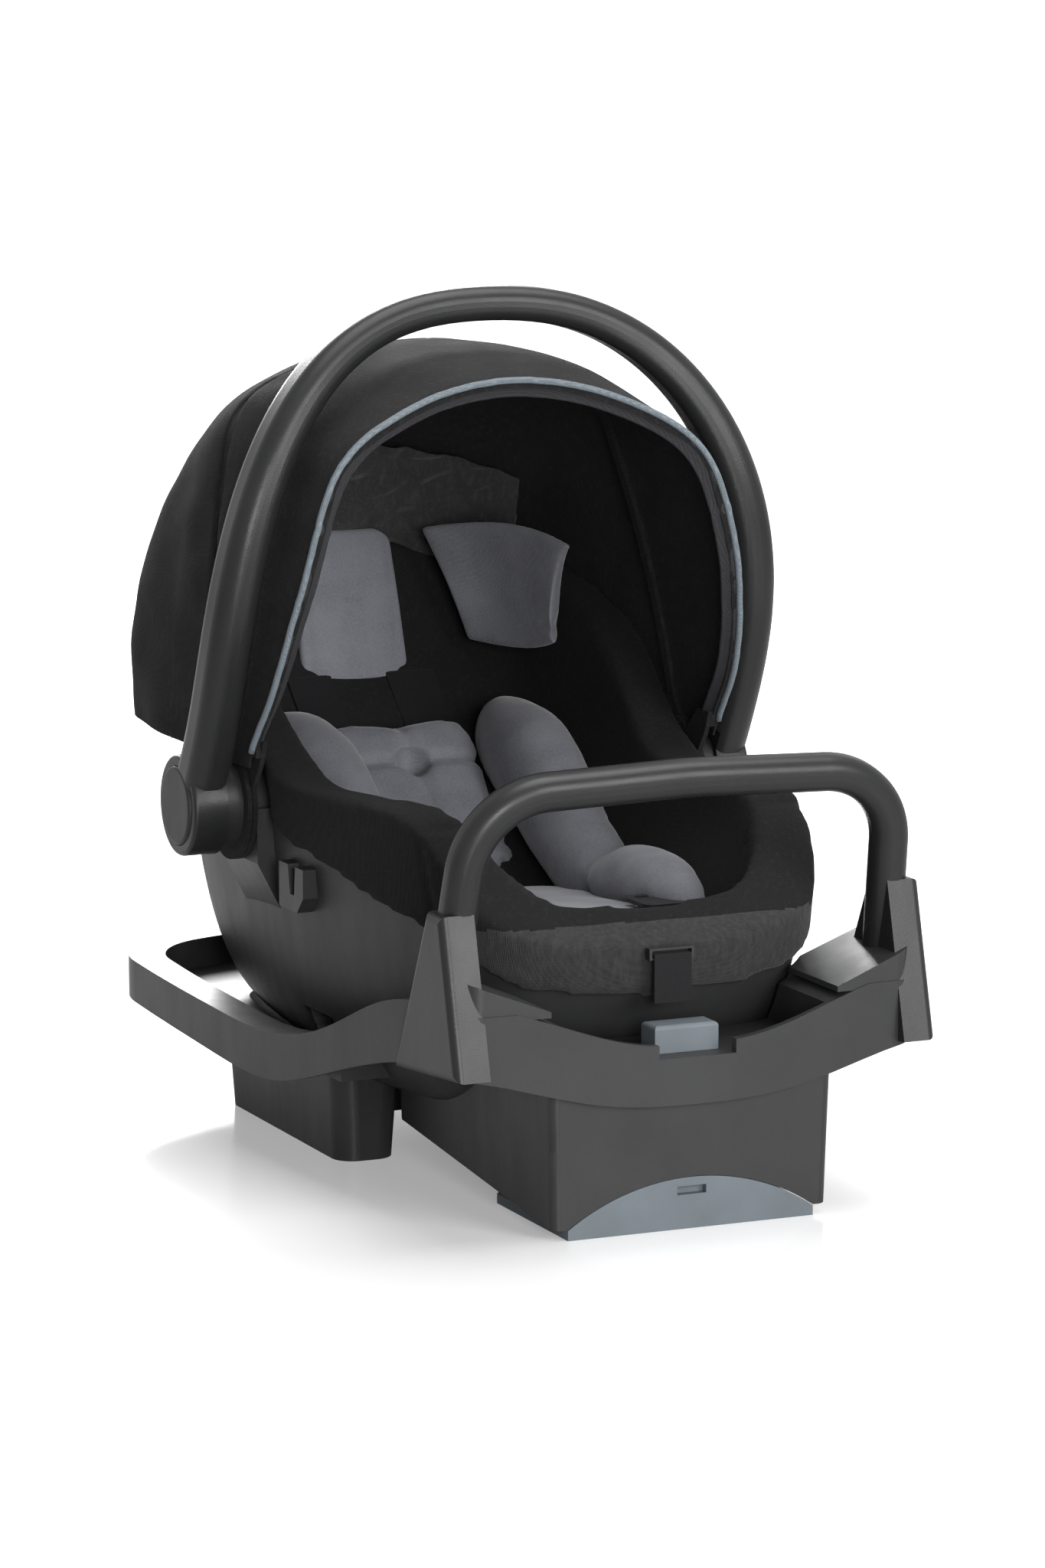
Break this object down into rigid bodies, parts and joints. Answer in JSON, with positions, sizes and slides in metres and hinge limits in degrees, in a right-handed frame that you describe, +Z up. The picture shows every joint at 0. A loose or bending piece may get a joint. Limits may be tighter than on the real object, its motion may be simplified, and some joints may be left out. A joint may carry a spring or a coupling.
{
  "type": "infant car seat",
  "caption": "Rear-facing infant car seat: padded carrier with swinging carry handle and folding canopy, latched into a base with an anti-rebound bar and a recline foot.",
  "frame": {"origin": "middle of the bounding footprint, on the floor under the base", "axes": "+X across the seat, -Y towards the foot end with the bar, +Y towards the head end, +Z up"},
  "size_m": [0.4492, 0.7105, 0.62],
  "materials": {
    "rim_plastic": "satin, fine grain",
    "lower_plastic": "satin, fine grain",
    "slate_plastic": "matte",
    "shell_plastic": "satin",
    "handle_plastic": "satin",
    "steel": "zinc plated",
    "foam": "expanded bead foam",
    "cover_fabric": "woven, melange at the foot end",
    "insert_fabric": "brushed knit",
    "strap_web": "woven webbing",
    "buckle_plastic": "satin",
    "canopy_fabric": "tight weave",
    "bow_plastic": "plain",
    "piping_fabric": "corded piping"
  },
  "bodies": {
    "base": {"base_upper": "rim_plastic", "base_lower": "lower_plastic", "base_screws": "steel", "anti_rebound_bar": "rim_plastic", "latch_bar": "steel", "foot_button_spring": "steel"},
    "carrier": {"adjuster_bezel": "lower_plastic", "adjuster_pin": "steel", "adjuster_strap": "strap_web", "back_pad": "insert_fabric", "belt_guide_left": "rim_plastic", "belt_guide_right": "rim_plastic", "bolster_left": "insert_fabric", "bolster_right": "insert_fabric", "buckle_housing": "buckle_plastic", "buckle_tongue_left": "buckle_plastic", "buckle_tongue_right": "buckle_plastic", "canopy_crown_panel": "canopy_fabric", "canopy_rear_panel": "canopy_fabric", "carrier_shell": "shell_plastic", "crotch_pad": "cover_fabric", "foam_liner": "foam", "head_panel": "insert_fabric", "head_wing_left": "insert_fabric", "head_wing_right": "insert_fabric", "hub_socket_left": "lower_plastic", "hub_socket_right": "lower_plastic", "latch_bracket": "steel", "pivot_pin_left": "steel", "pivot_pin_right": "steel", "release_pin": "steel", "seat_cover": "cover_fabric", "seat_pad": "insert_fabric", "shoulder_strap_left": "strap_web", "shoulder_strap_right": "strap_web"},
    "recline_foot": {"recline_foot": "slate_plastic"},
    "foot_button": {"foot_button": "slate_plastic"},
    "foot_pawl": {"foot_pawl": "lower_plastic"},
    "latch_hooks": {"hook_shaft": "steel", "latch_hook_left": "steel", "latch_hook_right": "steel"},
    "release_lever": {"release_lever": "lower_plastic"},
    "handle": {"carry_handle": "handle_plastic", "handle_gear_left": "handle_plastic", "handle_gear_right": "handle_plastic", "handle_spring_left": "steel", "handle_spring_right": "steel"},
    "handle_button_left": {"handle_button_left": "handle_plastic"},
    "handle_button_right": {"handle_button_right": "handle_plastic"},
    "canopy_mid": {"canopy_mid_bow": "bow_plastic", "canopy_front_panel": "canopy_fabric"},
    "canopy_front": {"canopy_front_bow": "bow_plastic", "canopy_piping": "piping_fabric"},
    "buckle_button": {"buckle_button": "buckle_plastic"},
    "adjuster_lever": {"adjuster_lever": "steel"}
  },
  "joints": [
    {"name": "carrier_lift", "type": "slide", "parent": "base", "child": "carrier", "axis": [0, 0, 1], "range_m": [0, 0.25]},
    {"name": "foot_extend", "type": "slide", "parent": "base", "child": "recline_foot", "axis": [0, 0, -1], "range_m": [0, 0.028]},
    {"name": "foot_button_press", "type": "slide", "parent": "base", "child": "foot_button", "axis": [0, 0, -1], "range_m": [0, 0.005], "stiffness_N_per_m": 600, "springref_m": -0.003, "deforming": ["foot_button_spring"]},
    {"name": "foot_pawl_slide", "type": "slide", "parent": "base", "child": "foot_pawl", "axis": [0, 1, 0], "range_m": [0, 0.005]},
    {"name": "release_swing", "type": "hinge", "parent": "carrier", "child": "release_lever", "pos_m": [0, 0.32, 0.268], "axis": [1, 0, 0], "range_deg": [-18, 0]},
    {"name": "hook_turn", "type": "hinge", "parent": "carrier", "child": "latch_hooks", "pos_m": [0, -0.019, 0.095], "axis": [1, 0, 0], "range_deg": [-45.5, 0]},
    {"name": "handle_swing", "type": "hinge", "parent": "carrier", "child": "handle", "pos_m": [0, 0.061, 0.2465], "axis": [-1, 0, 0], "range_deg": [0, 115], "deforming": ["canopy_rear_panel", "canopy_crown_panel", "canopy_front_panel"]},
    {"name": "handle_press_left", "type": "slide", "parent": "handle", "child": "handle_button_left", "axis": [1, 0, 0], "range_m": [0, 0.004], "stiffness_N_per_m": 1500, "deforming": ["handle_spring_left"]},
    {"name": "handle_press_right", "type": "slide", "parent": "handle", "child": "handle_button_right", "axis": [-1, 0, 0], "range_m": [0, 0.004], "stiffness_N_per_m": 1500, "deforming": ["handle_spring_right"]},
    {"name": "canopy_mid_fold", "type": "hinge", "parent": "carrier", "child": "canopy_mid", "pos_m": [0, 0.061, 0.2465], "axis": [-1, 0, 0], "range_deg": [0, 40], "deforming": ["canopy_rear_panel", "canopy_crown_panel", "canopy_front_panel"]},
    {"name": "canopy_front_fold", "type": "hinge", "parent": "canopy_mid", "child": "canopy_front", "pos_m": [0, 0.061, 0.2465], "axis": [-1, 0, 0], "range_deg": [0, 26.8], "deforming": ["canopy_front_panel"]},
    {"name": "buckle_press", "type": "slide", "parent": "carrier", "child": "buckle_button", "axis": [0, 0, -1], "range_m": [0, 0.0025], "stiffness_N_per_m": 800, "springref_m": -0.001},
    {"name": "adjuster_press", "type": "hinge", "parent": "carrier", "child": "adjuster_lever", "pos_m": [0, -0.289, 0.1865], "axis": [1, 0, 0], "range_deg": [0, 8], "stiffness_Nm_per_rad": 0.05, "springref_deg": -5.73}
  ],
  "couplings": [
    {"joint": "foot_pawl_slide", "follows": "foot_button_press", "ratio": 1},
    {"joint": "hook_turn", "follows": "release_swing", "ratio": 2.5},
    {"joint": "canopy_front_fold", "follows": "canopy_mid_fold", "ratio": 0.6667}
  ]
}
